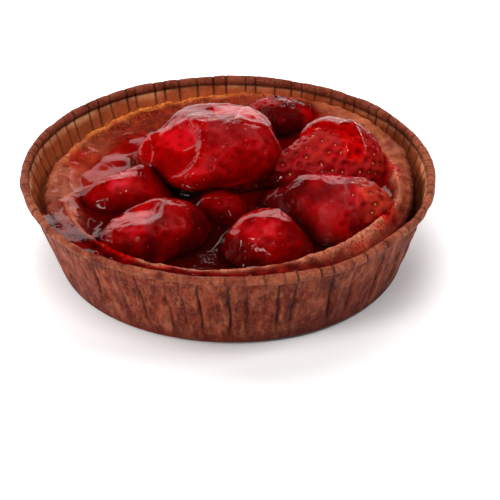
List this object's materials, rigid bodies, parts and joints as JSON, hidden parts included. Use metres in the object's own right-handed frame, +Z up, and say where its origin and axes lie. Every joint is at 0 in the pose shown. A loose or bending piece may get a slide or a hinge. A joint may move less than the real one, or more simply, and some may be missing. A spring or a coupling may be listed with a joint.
{
  "type": "strawberry tart",
  "caption": "Round tart in a pleated brown paper case: golden crust with an uneven rim, a pool of dark red jelly, and glazed halved strawberries standing in it",
  "frame": {"origin": "centre of the bottom face of the bounding box, on the surface that the case stands on", "axes": "+Z up through the middle of the tart, -Y towards the side that shows in front, +X to that view's right"},
  "size_m": [0.1155, 0.1156, 0.0357],
  "materials": {
    "paper": "matte",
    "crust": "matte",
    "jelly": "polished",
    "strawberry": "gloss"
  },
  "bodies": {
    "root": {"paper_case": "paper", "crust": "crust", "jelly": "jelly", "strawberry_back_left": "strawberry", "strawberry_back_right": "strawberry", "strawberry_right": "strawberry", "strawberry_front": "strawberry", "strawberry_front_left": "strawberry", "strawberry_left": "strawberry", "strawberry_centre": "strawberry", "strawberry_back": "strawberry"}
  },
  "joints": []
}
